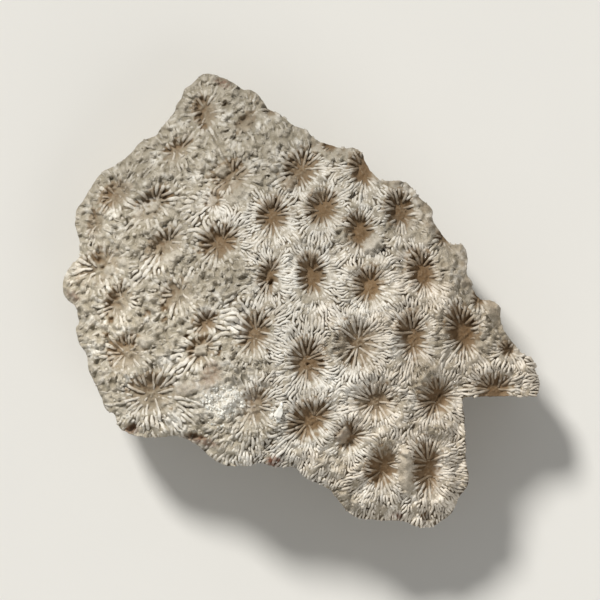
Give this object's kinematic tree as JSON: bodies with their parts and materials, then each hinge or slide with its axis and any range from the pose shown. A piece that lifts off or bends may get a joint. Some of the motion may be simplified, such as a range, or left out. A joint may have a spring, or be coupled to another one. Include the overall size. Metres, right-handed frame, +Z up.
{
  "type": "fossil coral head",
  "caption": "Domed fossil coral fragment, its top crowded with star-shaped ribbed pits, with a scalloped weathered margin, a stepped broken edge and a flat base to rest on.",
  "frame": {"origin": "middle of the flat base, under the middle of the plan outline", "axes": "+X to the right along the longer side, towards the beak; +Y towards the pointed far end; +Z up from the base to the domed face"},
  "size_m": [0.0718, 0.0682, 0.0263],
  "materials": {
    "fossil_limestone": "dry matte limestone, cream on the ribs and crests, brown in the pits"
  },
  "bodies": {
    "root": {"coral_head": "fossil_limestone"}
  },
  "joints": []
}
